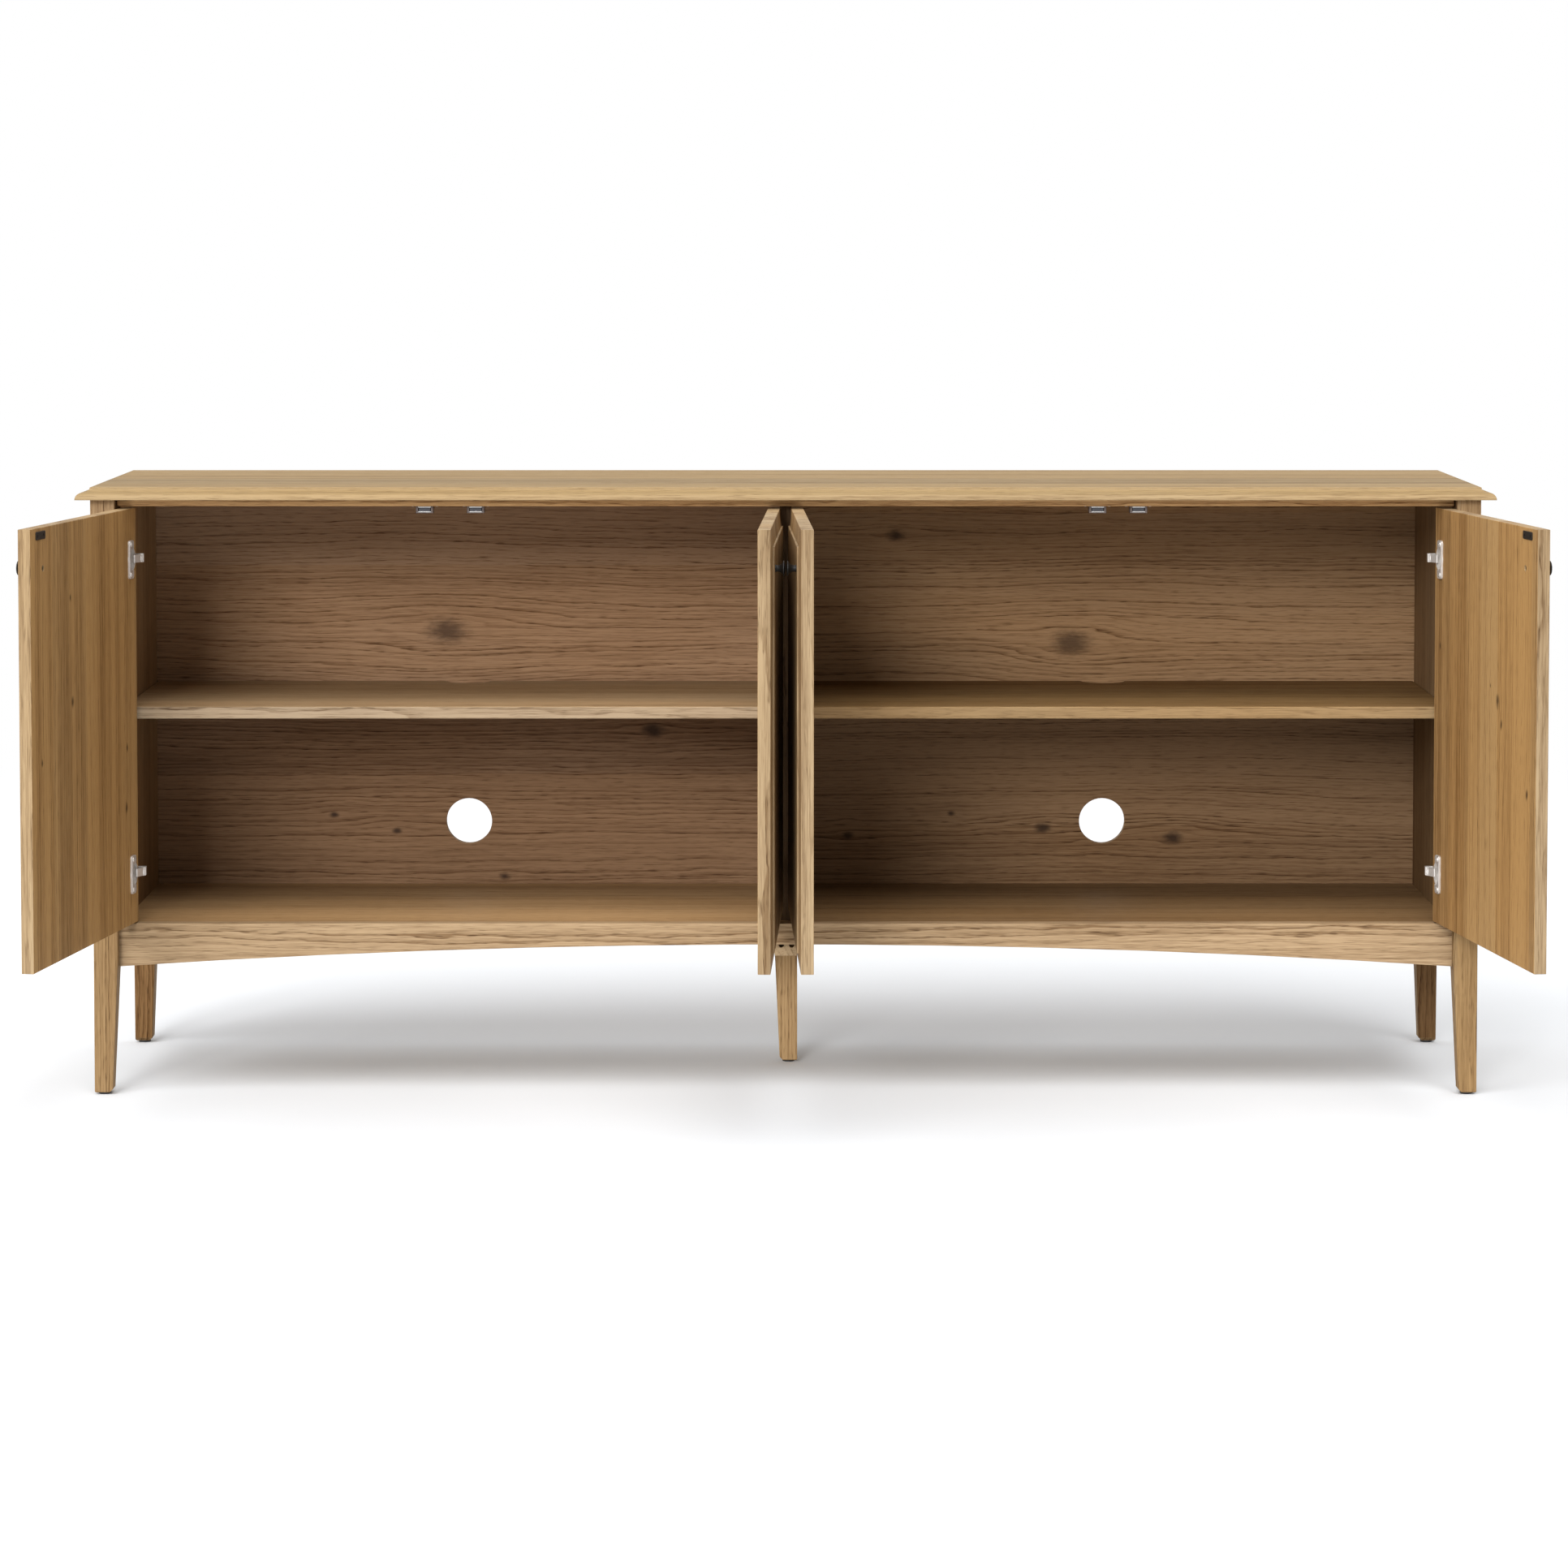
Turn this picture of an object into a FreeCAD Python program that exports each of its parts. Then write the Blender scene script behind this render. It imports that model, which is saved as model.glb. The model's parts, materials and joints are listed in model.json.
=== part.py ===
import FreeCAD, Part
import math
import os

# Four-door media cabinet in solid wood, in millimetres, +Z up.
#
# The pieces are worked out in cabinet coordinates: x from the middle of the cabinet, y backwards
# from the front of the legs, z up from the floor. At the end they move along y only, so that the
# origin lies on the floor at the middle of the cabinet's footprint with its doors standing open.

V = FreeCAD.Vector

# ---------------------------------------------------------------- driving dimensions

# Top
top_half_length = 1050.0
top_thickness = 18.0
total_height = 907.0
front_overhang = 20.0

# Legs, which are full-height corner posts
leg_outer_half = 1030.0
leg_section = 36.0
foot_section = 27.0
leg_edge_radius = 1.2
taper_start = 200.0
tapered_face_bevel = 5.0
outer_face_bevel = 1.6
cabinet_depth = 463.0
glide_height = 3.0
glide_radius = 9.5
glide_nail_radius = 1.0
glide_nail_length = 12.0

# Carcass
board = 18.0
side_inner_half = 990.0
floor_top = 254.5
rail_thickness = 11.0
rail_depth = 60.0
rail_end_gap = 2.2
front_setback = 16.0
apron_thickness = 20.0
apron_end_bottom = 190.0
apron_middle_bottom = 223.0
edge_round = 1.2
partition_front = 46.0
back_front = 433.0
back_thickness = 15.0

# Shelves and cable openings
shelf_bottom = 558.0
shelf_side_gap = 2.0
shelf_rear_gap = 2.0
notch_radius = 34.0
cable_hole_radius = 36.0
cable_hole_height = 354.0
pin_radius = 2.5
pin_depth = 9.0
pin_reach = 8.0

# Centre support
beam_half_width = 16.5
beam_bottom = 203.0
beam_hole_radius = 4.2
beam_hole_height = 219.3
beam_hole_depth = 25.0
beam_hole_x = (-6.5, 9.0)
centre_leg_front = 267.0

# Doors
door_side_gap = 2.0
door_middle_gap = 2.4
door_bottom_gap = 2.0
door_top_gap = 2.5
field_height = 4.75
cove_width = 28.0
left_door_open = 99.1
right_door_open = 98.5
centre_door_open = 88.45

# Cup hinges, measured from the closed door's hinge edge and outer face
hinge_levels = (331.0, 800.0)
axis_in = 9.3
axis_back = 2.6
cup_in = 22.5
cup_bore_radius = 17.5
cup_radius = 17.4
cup_wall = 1.0
cup_depth = 12.3
cup_bore_depth = 12.6
cup_lip = 0.8
flange_thickness = 3.2
flange_span = (19.0, 40.0)
flange_corner = 5.0
cup_screw_in = 32.0
cup_screw_half_spacing = 22.5
link_pivot_in = 33.0
link_pivot_back = 11.0
link_length = 16.5
link_closed_angle = 176.0
link_ratio = 0.67
plate_line = 60.0
plate_screw_half_spacing = 16.0
hinge_pin_radius = 1.3
hinge_pin_clearance = 0.05

# Knobs, strike plates and magnetic catches
knob_from_edge = 55.0
knob_height = 818.0
knob_projection = 14.2
strike_from_edge = 44.0
strike_size = (42.0, 1.0, 11.5)
strike_height = 864.7
catch_offsets_left = (-38.0, 38.0)
catch_offsets_right = (-35.0, 26.0)
catch_front = 36.0
catch_size = (26.0, 24.0, 11.5)

# Fasteners
pilot_clearance = 0.05
dowel_radius = 4.0
dowel_half_length = 13.0

# ---------------------------------------------------------------- derived dimensions

leg_inner_half = leg_outer_half - leg_section
leg_top = total_height - top_thickness
rail_bottom = leg_top - rail_thickness
floor_bottom = floor_top - board
back_rear = back_front + back_thickness
shelf_top = shelf_bottom + board
bay_centre = (side_inner_half + board / 2) / 2
shelf_rear = back_front - shelf_rear_gap
door_bottom = floor_top + door_bottom_gap
door_top = rail_bottom - door_top_gap
door_width = (2 * (leg_inner_half - door_side_gap) - 3 * door_middle_gap) / 4
door_outer_half = leg_inner_half - door_side_gap
door_inner_half = door_middle_gap / 2
side_face_in = door_outer_half - side_inner_half
partition_face_in = board / 2 - door_inner_half


# ---------------------------------------------------------------- shape helpers

def box(x0, x1, y0, y1, z0, z1):
    return Part.makeBox(x1 - x0, y1 - y0, z1 - z0, V(x0, y0, z0))


def rod(radius, start, end):
    along = end - start
    return Part.makeCylinder(radius, along.Length, start, along)


def joined(shapes):
    return shapes[0].multiFuse(shapes[1:]).removeSplitter()


def without(shape, tools):
    return shape.cut(Part.makeCompound(tools)).removeSplitter()


def mirrored(shape):
    return shape.mirror(V(0, 0, 0), V(1, 0, 0))


def shifted(shape, x=0.0, y=0.0, z=0.0):
    moved = shape.copy()
    moved.translate(V(x, y, z))
    return moved


def turned(shape, centre, degrees):
    moved = shape.copy()
    moved.rotate(centre, V(0, 0, 1), degrees)
    return moved


def at_front(a, b, y):
    """True for an edge that lies in the plane at depth y, where a board's front face is."""
    return max(abs(a.y - y), abs(b.y - y)) < 0.1


def outline_wire(start, steps, place):
    """Closed outline in two coordinates: a step is (end,) for a line, (through, end) for an arc."""
    edges = []
    here = start
    for step in steps:
        end = step[-1]
        if len(step) == 1:
            edges.append(Part.LineSegment(place(*here), place(*end)).toShape())
        else:
            edges.append(Part.Arc(place(*here), place(*step[0]), place(*end)).toShape())
        here = end
    if here != start:
        edges.append(Part.LineSegment(place(*here), place(*start)).toShape())
    return Part.Wire(edges)


def outline_face(start, steps, place):
    return Part.Face(outline_wire(start, steps, place))


def rounded(shape, radius, wanted):
    """Fillet the straight edges whose two end points satisfy wanted(first, last)."""
    edges = []
    for edge in shape.Edges:
        ends = [vertex.Point for vertex in edge.Vertexes]
        if len(ends) == 2 and wanted(*ends):
            edges.append(edge)
    return shape.makeFillet(radius, edges)


def turned_profile(start, steps):
    """Solid of revolution about Z from an outline in (radius, height)."""
    face = outline_face(start, steps, lambda r, h: V(r, 0, h))
    return face.revolve(V(0, 0, 0), V(0, 0, 1), 360)


def dome_step(radius, edge, apex):
    """Arc of an outline in (radius, height) from its edge to its apex on the axis, as a part of a sphere."""
    rise = apex - edge
    sphere = (radius ** 2 + rise ** 2) / (2 * rise)
    half = radius / 2
    through = apex - sphere + math.copysign(math.sqrt(sphere ** 2 - half ** 2), rise)
    return ((half, through), (0.0, apex))


def aimed(shape, direction, origin):
    """Turn a shape made along +Z so that it points along direction, and move it to origin."""
    moved = shape.copy()
    moved.Placement = FreeCAD.Placement(origin, FreeCAD.Rotation(V(0, 0, 1), direction))
    return moved


def wood_screw(head_radius, head_height, shank_radius, length, countersunk):
    """Cross-recessed screw: the head's outer face is at the origin and the point is along +Z."""
    if countersunk:
        head = Part.makeCone(head_radius, shank_radius, head_height)
    else:
        rim = head_height * 0.55
        steps = [((head_radius, head_height),), ((head_radius, rim),), dome_step(head_radius, rim, 0.0)]
        head = turned_profile((0, head_height), steps)
    shank = Part.makeCylinder(shank_radius, length - shank_radius, V(0, 0, head_height * 0.9))
    point = Part.makeCone(shank_radius, 0.2, shank_radius, V(0, 0, head_height * 0.9 + length - shank_radius))
    arm = head_radius * 0.55
    slot = head_radius * 0.11
    recess = head_height * 0.5
    cross = joined([box(-arm, arm, -slot, slot, -1, recess), box(-slot, slot, -arm, arm, -1, recess)])
    return without(joined([head, shank, point]), [cross])


def screw_hole(head_radius, head_height, shank_radius, length, countersunk):
    """Space that wood_screw needs, with a little clearance."""
    c = pilot_clearance
    shank = Part.makeCylinder(shank_radius + c, length + head_height + c)
    if not countersunk:
        return shank
    return joined([shank, Part.makeCone(head_radius + c, shank_radius + c, head_height + c)])


def at_each(shape, direction, origins):
    return [aimed(shape, direction, origin) for origin in origins]


# ---------------------------------------------------------------- top and rails

def top_panel():
    """Board with an ogee edge along the front and both sides, and square at the back."""
    base = leg_top
    slab = box(-top_half_length, top_half_length, -front_overhang, cabinet_depth, base, total_height)
    lip = 1.6
    hollow = ((2.7, 7.4), (9.0, 10.6))
    round_over = ((15.2, 11.9), (19.0, 15.0))
    arris = ((19.9, 17.7), (20.8, top_thickness))
    above = top_thickness + 1
    steps = [((0.0, lip),), hollow, round_over, ((19.6, 15.0),), ((19.6, 17.0),), arris,
             ((20.8, above),), ((-1.0, above),), ((-1.0, -1.0),), ((0.0, -1.0),)]
    start = (0.0, 0.0)
    run = 2 * top_half_length + 2
    front = outline_face(start, steps, lambda u, w: V(-top_half_length - 1, u - front_overhang, base + w))
    left = outline_face(start, steps, lambda u, w: V(u - top_half_length, -front_overhang - 1, base + w))
    front_cut = front.extrude(V(run, 0, 0))
    left_cut = left.extrude(V(0, cabinet_depth + front_overhang + 2, 0))
    return without(slab, [front_cut, left_cut, mirrored(left_cut)])


def front_top_rail():
    """Flat rail under the top: its front strip fills the space between the posts."""
    shoulder = leg_section - 0.5
    strip_half = leg_inner_half - rail_end_gap
    strip = box(-strip_half, strip_half, front_setback, shoulder, rail_bottom, leg_top)
    web = box(-side_inner_half, side_inner_half, shoulder, front_setback + rail_depth, rail_bottom, leg_top)
    rail = joined([strip, web])
    return rounded(rail, edge_round, lambda a, b: at_front(a, b, front_setback) and a.z == b.z)


def rear_top_rail():
    return box(-side_inner_half, side_inner_half, back_front - rail_depth, back_front, rail_bottom, leg_top)


# ---------------------------------------------------------------- legs

def rounded_square(side, radius, z):
    """Outline of a square with rounded corners, one corner over the origin."""
    r = radius
    m = r * (1 - math.sqrt(0.5))
    far = side
    steps = [
        ((far - r, 0),),
        ((far - m, m), (far, r)),
        ((far, far - r),),
        ((far - m, far - m), (far - r, far)),
        ((r, far),),
        ((m, far - m), (0, far - r)),
        ((0, r),),
        ((m, m), (r, 0)),
    ]
    return outline_wire((r, 0), steps, lambda x, y: V(x, y, z))


def leg(top):
    """Leg with its outer corner at the origin: square above, tapering on the faces towards +x and +y."""
    upper = rounded_square(leg_section, leg_edge_radius, taper_start)
    lower = rounded_square(foot_section, leg_edge_radius, glide_height)
    post = Part.Face(upper).extrude(V(0, 0, top - taper_start))
    foot = Part.makeLoft([lower, upper], True, True)
    shape = joined([foot, post])
    middle = foot_section / 2
    nail_top = glide_height + glide_nail_length + 0.5
    nail = Part.makeCylinder(glide_nail_radius + pilot_clearance, nail_top, V(middle, middle, 0))
    return without(shape, foot_bevels() + [nail])


def foot_bevels():
    """Wedges that bevel the foot's lower edges: large on the two tapered faces, small on the others."""
    f = foot_section
    large = tapered_face_bevel
    small = outer_face_bevel
    z = glide_height
    inner = ((f - large, -1), [((f - large, 0),), ((f + 1, large + 1),), ((f + 1, -1),)])
    outer = ((small, -1), [((small, 0),), ((-1, small + 1),), ((-1, -1),)])
    wedges = []
    for start, steps in (inner, outer):
        along_y = outline_face(start, steps, lambda u, w: V(u, -1, z + w))
        along_x = outline_face(start, steps, lambda u, w: V(-1, u, z + w))
        wedges.append(along_y.extrude(V(0, f + 2, 0)))
        wedges.append(along_x.extrude(V(f + 2, 0, 0)))
    return wedges


def glide():
    """Low plastic foot disc with its nail."""
    edge = 0.8
    steps = [((glide_radius - edge, 0),), ((glide_radius - edge * 0.3, edge * 0.3), (glide_radius, edge)),
             ((glide_radius, glide_height),), ((0, glide_height),)]
    disc = turned_profile((0, 0), steps)
    nail = Part.makeCylinder(glide_nail_radius, glide_nail_length, V(0, 0, glide_height))
    return joined([disc, nail])


def flipped_y(shape):
    return shape.mirror(V(0, 0, 0), V(0, 1, 0))


def corner_legs():
    front_left = shifted(leg(leg_top), x=-leg_outer_half)
    rear_left = shifted(flipped_y(leg(leg_top)), x=-leg_outer_half, y=cabinet_depth)
    return {"leg_front_left": front_left, "leg_front_right": mirrored(front_left),
            "leg_rear_left": rear_left, "leg_rear_right": mirrored(rear_left)}


def centre_leg():
    return shifted(mirrored(leg(beam_bottom)), x=leg_section / 2, y=centre_leg_front)


def foot_glides():
    inset = foot_section / 2
    x = leg_outer_half - inset
    spots = [(-x, inset), (x, inset), (-x, cabinet_depth - inset), (x, cabinet_depth - inset),
             (leg_section / 2 - inset, centre_leg_front + inset)]
    return [shifted(glide(), x=px, y=py) for px, py in spots]


# ---------------------------------------------------------------- carcass boards

def side_panel(sign):
    inner = side_inner_half
    panel = box(inner, inner + board, leg_section, cabinet_depth - leg_section, apron_end_bottom, leg_top)
    return panel if sign > 0 else mirrored(panel)


def centre_partition():
    """Upright between the bays, notched at the top for the two rails."""
    half = board / 2
    upright = box(-half, half, partition_front, back_front, floor_top, leg_top)
    front_notch = box(-half - 1, half + 1, 0, front_setback + rail_depth, rail_bottom, leg_top + 1)
    rear_notch = box(-half - 1, half + 1, back_front - rail_depth, back_front + 1, rail_bottom, leg_top + 1)
    upright = without(upright, [front_notch, rear_notch])
    return rounded(upright, 1.0, lambda a, b: at_front(a, b, partition_front) and a.x == b.x)


def cabinet_floor():
    rear = front_setback + apron_thickness
    return box(-side_inner_half, side_inner_half, rear, back_front, floor_bottom, floor_top)


def front_apron():
    """Apron across the whole front, its lower edge one long shallow arch."""
    half = leg_inner_half
    arch = ((0, apron_middle_bottom), (half, apron_end_bottom))
    steps = [arch, ((half, floor_top),), ((-half, floor_top),)]
    face = outline_face((-half, apron_end_bottom), steps, lambda x, z: V(x, front_setback, z))
    shape = face.extrude(V(0, apron_thickness, 0))
    top = floor_top - 0.1
    return rounded(shape, edge_round, lambda a, b: at_front(a, b, front_setback) and min(a.z, b.z) > top)


def rear_apron():
    return box(-leg_inner_half, leg_inner_half, back_front, back_rear, apron_end_bottom, floor_bottom)


def back_panel(sign):
    """Half of the back, with the round cable hole of its bay."""
    panel = box(0.2, leg_inner_half, back_front, back_rear, floor_bottom, leg_top)
    start = V(bay_centre, back_front - 1, cable_hole_height)
    panel = without(panel, [rod(cable_hole_radius, start, start + V(0, back_thickness + 2, 0))])
    return panel if sign > 0 else mirrored(panel)


def shelf(sign):
    """Loose shelf with a half-round cable notch in its rear edge."""
    x0 = board / 2 + shelf_side_gap
    x1 = side_inner_half - shelf_side_gap
    plank = box(x0, x1, partition_front, shelf_rear, shelf_bottom, shelf_top)
    plank = rounded(plank, edge_round, lambda a, b: at_front(a, b, partition_front) and a.z == b.z)
    notch = Part.makeCylinder(notch_radius, board + 2, V(bay_centre, shelf_rear, shelf_bottom - 1))
    plank = without(plank, [notch])
    return plank if sign > 0 else mirrored(plank)


def shelf_pin_places():
    """Point on a board's face and the way into the board, for each shelf pin."""
    places = []
    z = shelf_bottom - pin_radius
    for y in (partition_front + 40, shelf_rear - 50):
        for sign in (-1, 1):
            places.append((V(sign * side_inner_half, y, z), V(sign, 0, 0)))
            places.append((V(sign * board / 2, y, z), V(-sign, 0, 0)))
    return places


def shelf_pins():
    pins = []
    for face, into in shelf_pin_places():
        stem = rod(pin_radius, face - into * pin_reach, face + into * (pin_depth - 1))
        collar = rod(pin_radius + 1.0, face - into * 1.2, face)
        above_shelf = box(face.x - 5, face.x + 5, face.y - 5, face.y + 5, shelf_bottom, shelf_top)
        pins.append(joined([stem, collar.cut(above_shelf)]))
    return pins


def shelf_pin_holes():
    return [rod(pin_radius + pilot_clearance, face - into, face + into * (pin_depth - 0.6))
            for face, into in shelf_pin_places()]


def centre_beam():
    """Bearer under the floor: two open holes show in its front end."""
    front = front_setback + apron_thickness
    beam = box(-beam_half_width, beam_half_width, front, back_front, beam_bottom, floor_bottom)
    holes = []
    for x in beam_hole_x:
        start = V(x, front - 1, beam_hole_height)
        holes.append(rod(beam_hole_radius, start, start + V(0, beam_hole_depth + 1, 0)))
    return without(beam, holes)


# ---------------------------------------------------------------- dowels and screws of the carcass

def dowel_places():
    """Centre and direction of each hidden dowel between the posts, the side panels and the aprons."""
    places = []
    for sign in (-1, 1):
        for z in (212.0, 240.0):
            places.append((V(sign * leg_inner_half, front_setback + apron_thickness / 2, z), V(sign, 0, 0)))
        places.append((V(sign * leg_inner_half, back_front + back_thickness / 2, 213.0), V(sign, 0, 0)))
        for z in (300.0, 560.0, 820.0):
            x = sign * (side_inner_half + board / 2)
            places.append((V(x, leg_section, z), V(0, 1, 0)))
            places.append((V(x, cabinet_depth - leg_section, z), V(0, 1, 0)))
    return places


def dowels(radius, half_length):
    return [rod(radius, centre - way * half_length, centre + way * half_length)
            for centre, way in dowel_places()]


TOP_SCREW = (3.8, 2.4, 1.9, 16.0, True)
BACK_SCREW = (3.4, 2.2, 1.7, 26.0, True)
BEAM_SCREW = (4.4, 2.8, 2.2, 40.0, True)


def top_screw_places():
    xs = (-900.0, -300.0, 300.0, 900.0)
    ys = (front_setback + rail_depth - 14, back_front - 30)
    return [V(x, y, rail_bottom) for x in xs for y in ys]


def back_screw_places():
    places = []
    for sign in (-1, 1):
        for x in (150.0, 500.0, 850.0):
            places.append(V(sign * x, back_rear, floor_top - board / 2))
            places.append(V(sign * x, back_rear, rail_bottom + rail_thickness / 2))
        for z in (300.0, 450.0, 650.0, 820.0):
            places.append(V(sign * 5.2, back_rear, z))
    return places


def beam_screw_places():
    """Heads of the screws that go up through the bearer into the floor."""
    return [V(0, y, beam_bottom) for y in (90.0, 230.0, 340.0)]


def carcass_screws():
    return {
        "top_screws": at_each(wood_screw(*TOP_SCREW), V(0, 0, 1), top_screw_places()),
        "back_panel_screws": at_each(wood_screw(*BACK_SCREW), V(0, -1, 0), back_screw_places()),
        "centre_beam_screws": at_each(wood_screw(*BEAM_SCREW), V(0, 0, 1), beam_screw_places()),
    }


def carcass_screw_holes():
    return (at_each(screw_hole(*TOP_SCREW), V(0, 0, 1), top_screw_places())
            + at_each(screw_hole(*BACK_SCREW), V(0, -1, 0), back_screw_places())
            + at_each(screw_hole(*BEAM_SCREW), V(0, 0, 1), beam_screw_places()))


# ---------------------------------------------------------------- magnetic catches under the top rail

CATCH_SCREW = (2.8, 1.2, 1.3, 8.0, False)
catch_tab_reach = 8.5
pole_thickness = 1.3
pole_proud = 0.6


def catch_centres():
    left = [offset - bay_centre for offset in catch_offsets_left]
    return left + [offset + bay_centre for offset in catch_offsets_right]


def catch_housing(x):
    """Moulded body with two screw tabs and a pocket for the magnet and its pole plates."""
    width, depth, height = catch_size
    top = rail_bottom
    body = box(x - width / 2, x + width / 2, catch_front, catch_front + depth, top - height, top)
    body = rounded(body, 1.5, lambda a, b: abs(a.z - b.z) > height - 1)
    reach = width / 2 + catch_tab_reach
    tabs = box(x - reach, x + reach, catch_front + 6, catch_front + depth - 6, top - 1.6, top)
    pocket = box(x - 9.5, x + 9.5, catch_front - 1, catch_front + depth - 3, top - 10.2, top - 1.8)
    holes = [rod(1.45, V(px, catch_front + depth / 2, top - 3), V(px, catch_front + depth / 2, top + 1))
             for px in (x - reach + 4, x + reach - 4)]
    return without(joined([body, tabs]), [pocket] + holes)


def pole_plates(x):
    front = catch_front - pole_proud
    rear = catch_front + catch_size[1] - 3.2
    top = rail_bottom
    upper = box(x - 9.4, x + 9.4, front, rear, top - 1.9 - pole_thickness, top - 1.9)
    lower = box(x - 9.4, x + 9.4, front, rear, top - 10.1, top - 10.1 + pole_thickness)
    return [upper, lower]


def catch_magnet(x):
    rear = catch_front + catch_size[1] - 3.2
    return box(x - 8.5, x + 8.5, catch_front + 0.6, rear, rail_bottom - 10.1 + pole_thickness,
               rail_bottom - 1.9 - pole_thickness)


def catch_screw_places():
    reach = catch_size[0] / 2 + catch_tab_reach - 4
    z = rail_bottom - 1.6 - CATCH_SCREW[1]
    y = catch_front + catch_size[1] / 2
    return [V(x + side, y, z) for x in catch_centres() for side in (-reach, reach)]


# ---------------------------------------------------------------- hinges
#
# A hinge is worked out beside a closed, left-hung door: x from the door's hinge edge, y from the
# door's outer face (without its raised field), and z = 0 at the middle of the hinge.

PLATE_SCREW = (3.2, 1.6, 2.1, 8.0, False)
CUP_SCREW = (3.6, 1.6, 1.7, 12.0, False)
arm_half_height = 6.25
knuckle_radius = 2.2


def hinge_cup():
    """Pressed cup with a thin lip, and the thick rounded flange that its two screws go through."""
    inner = board
    face = inner + flange_thickness
    outer = Part.makeCylinder(cup_radius, cup_depth, V(cup_in, inner, 0), V(0, -1, 0))
    lip = Part.makeCylinder(cup_radius + cup_lip, cup_lip, V(cup_in, inner, 0), V(0, 1, 0))
    s = cup_screw_half_spacing
    end = s + 6.0
    flange = box(flange_span[0], flange_span[1], inner, face, -end, end)
    flange = rounded(flange, flange_corner, lambda a, b: abs(a.y - b.y) > flange_thickness / 2)
    flange = rounded(flange, 0.6, lambda a, b: a.y > face - 0.1 and b.y > face - 0.1)
    holes = [rod(CUP_SCREW[2] + 0.15, V(cup_screw_in, inner - 1, z), V(cup_screw_in, face + 1, z))
             for z in (-s, s)]
    bottom = V(cup_in, inner - cup_depth + cup_wall, 0)
    hollow = rod(cup_radius - cup_wall, bottom, V(cup_in, face + 1, 0))
    return without(joined([outer, lip, flange]), [hollow] + holes)


def hinge_arm(face_in):
    """Cranked arm from the mounting plate round the door's edge to the tongue that holds the link."""
    h = arm_half_height
    web = face_in + 8.5
    rear = 84.0
    channel = box(face_in + 2.4, web, 24.0, rear, -h, h)
    crank = box(face_in + 2.4, link_pivot_in + 3.4, 21.4, 27.0, -h, h)
    drop = box(link_pivot_in - 2.6, link_pivot_in + 3.4, link_pivot_back + 3.0, 27.0, -h, h)
    tongue = box(link_pivot_in - 1.8, link_pivot_in + 1.8, link_pivot_back, link_pivot_back + 4, -3, 3)
    eye = Part.makeCylinder(knuckle_radius, 6, V(link_pivot_in, link_pivot_back, -3))
    hollow = box(face_in + 1, web - 1.2, 29.0, rear + 1, -h + 1.2, h - 1.2)
    pin_hole = Part.makeCylinder(hinge_pin_radius, 20, V(link_pivot_in, link_pivot_back, -10))
    arm = joined([channel, crank, drop, tongue, eye])
    arm = rounded(arm, 2.4, lambda a, b: abs(a.z - b.z) > 2 * h - 1 and a.y > 26.9 and a.x > web)
    return without(arm, [hollow, pin_hole])


def hinge_plate(face_in):
    """Mounting plate: two screw wings and the raised bar that the arm clips on."""
    s = plate_screw_half_spacing
    wings = box(face_in, face_in + 1.8, plate_line - 7, plate_line + 7, -s, s)
    bar = box(face_in, face_in + 5.4, plate_line - 14, plate_line + 22, -4.8, 4.8)
    ends = []
    holes = []
    for z in (-s, s):
        ends.append(Part.makeCylinder(7.0, 1.8, V(face_in, plate_line, z), V(1, 0, 0)))
        holes.append(Part.makeCylinder(PLATE_SCREW[2] + 0.1, 4, V(face_in - 1, plate_line, z), V(1, 0, 0)))
    return without(joined([wings, bar] + ends), holes)


def hinge_link():
    """Link on the arm's pin, drawn at the closed door's angle; its far end swings inside the cup."""
    angle = math.radians(link_closed_angle)
    along = V(math.cos(angle), math.sin(angle), 0)
    pivot = V(link_pivot_in, link_pivot_back, 0)
    h = arm_half_height - 0.35
    half = 1.5
    near = knuckle_radius + 0.6
    bar = box(near, link_length, -half, half, -h, h)
    tip = Part.makeCylinder(half, 2 * h, V(link_length, 0, -h))
    tabs = []
    for z0, z1 in ((-h, -3.3), (3.3, h)):
        tabs.append(Part.makeCylinder(knuckle_radius, z1 - z0, V(0, 0, z0)))
        tabs.append(box(0, near + 0.5, -half, half, z0, z1))
    link = joined([bar, tip] + tabs)
    link = link.cut(Part.makeCylinder(hinge_pin_radius + hinge_pin_clearance, 30, V(0, 0, -15)))
    link.Placement = FreeCAD.Placement(pivot, FreeCAD.Rotation(V(1, 0, 0), along))
    return link


def hinge_pin():
    h = arm_half_height - 0.35
    return Part.makeCylinder(hinge_pin_radius, 2 * h, V(link_pivot_in, link_pivot_back, -h))


def plate_screw_places(face_in):
    return [V(face_in + 1.8 + PLATE_SCREW[1], plate_line, z)
            for z in (-plate_screw_half_spacing, plate_screw_half_spacing)]


# ---------------------------------------------------------------- doors
#
# A door is worked out closed and left-hung: x from its hinge edge, y from its outer face, true z.

KNOB_SCREW = (3.9, 2.4, 2.0, 27.0, False)
STRIKE_SCREW = (2.6, 1.2, 1.3, 9.0, True)
knob_counterbore = 3.2


def moulding_cutter(place, away):
    """Waste beyond the door's moulded border: s runs in from the edge, h out from the outer face."""
    steps = [((0.0, -1.0),), ((0.3, -0.3), (1.0, 0.0)), ((14.0, 0.5), (cove_width - 2.4, 2.3)),
             ((cove_width - 2.4, 3.9),), ((cove_width - 2.15, 4.5), (cove_width - 1.5, field_height)),
             ((cove_width - 1.5, field_height + 1),), ((-1.0, field_height + 1),)]
    return outline_face((-1.0, -1.0), steps, place).extrude(away)


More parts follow.
